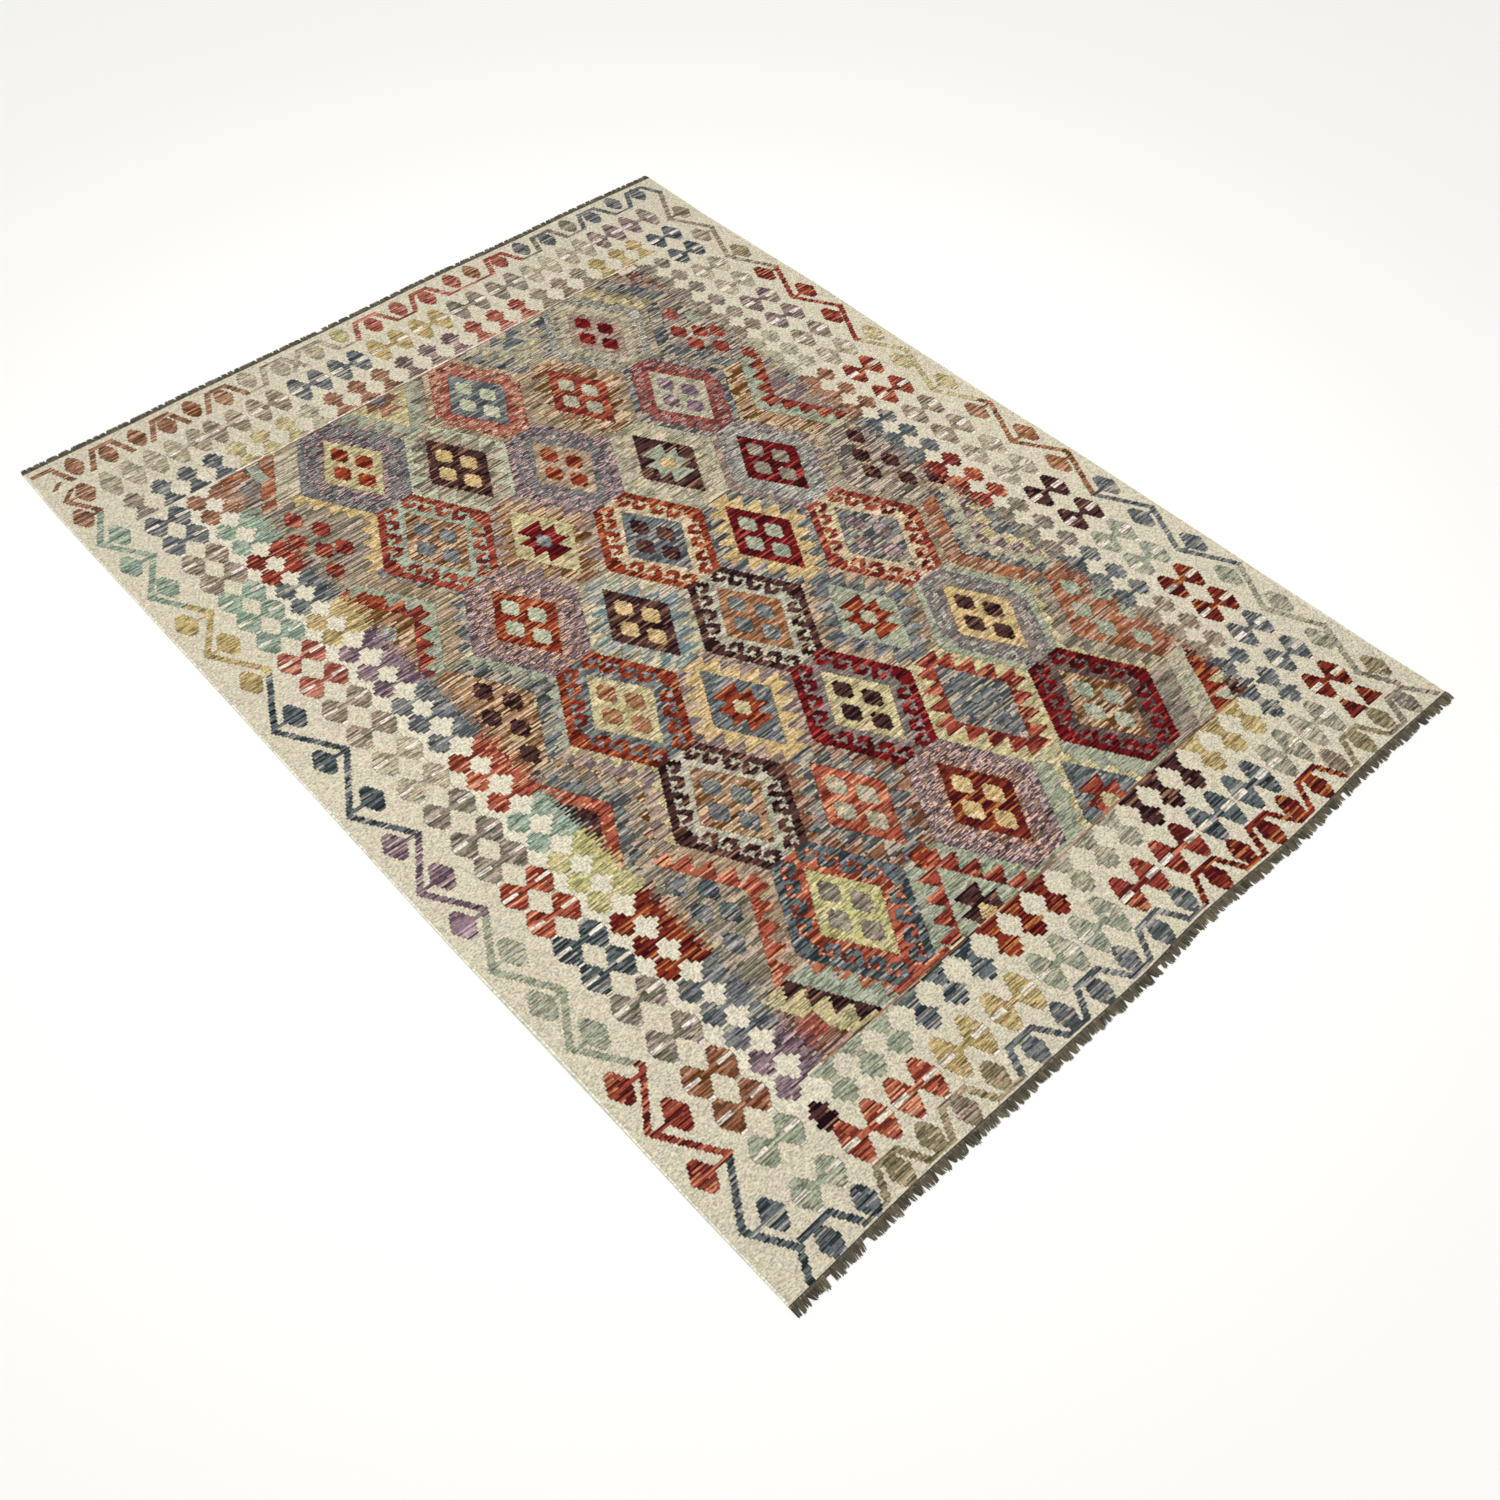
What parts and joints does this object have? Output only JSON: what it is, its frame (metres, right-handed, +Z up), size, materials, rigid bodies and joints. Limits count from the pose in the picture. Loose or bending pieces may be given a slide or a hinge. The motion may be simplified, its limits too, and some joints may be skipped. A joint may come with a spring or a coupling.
{
  "type": "kilim rug",
  "caption": "Flat-woven wool kilim rug with stepped diamond medallions, cream patterned borders and short dark warp-end fringes at both ends.",
  "frame": {"origin": "centre of the rug's outline, fringes included, on the underside that lies on the floor", "axes": "+X across the width along the wefts, +Y along the length towards the far end, +Z up out of the patterned face"},
  "size_m": [2.13, 2.914, 0.0034],
  "materials": {
    "kilim_wool": "weft-faced hand-woven wool tapestry in many dyed colours on a cream ground, matt",
    "warp_wool": "undyed dark grey-brown wool warp ends, knotted and cut short, matt"
  },
  "bodies": {
    "root": {"kilim_cloth": "kilim_wool", "far_fringe": "warp_wool", "near_fringe": "warp_wool"}
  },
  "joints": []
}
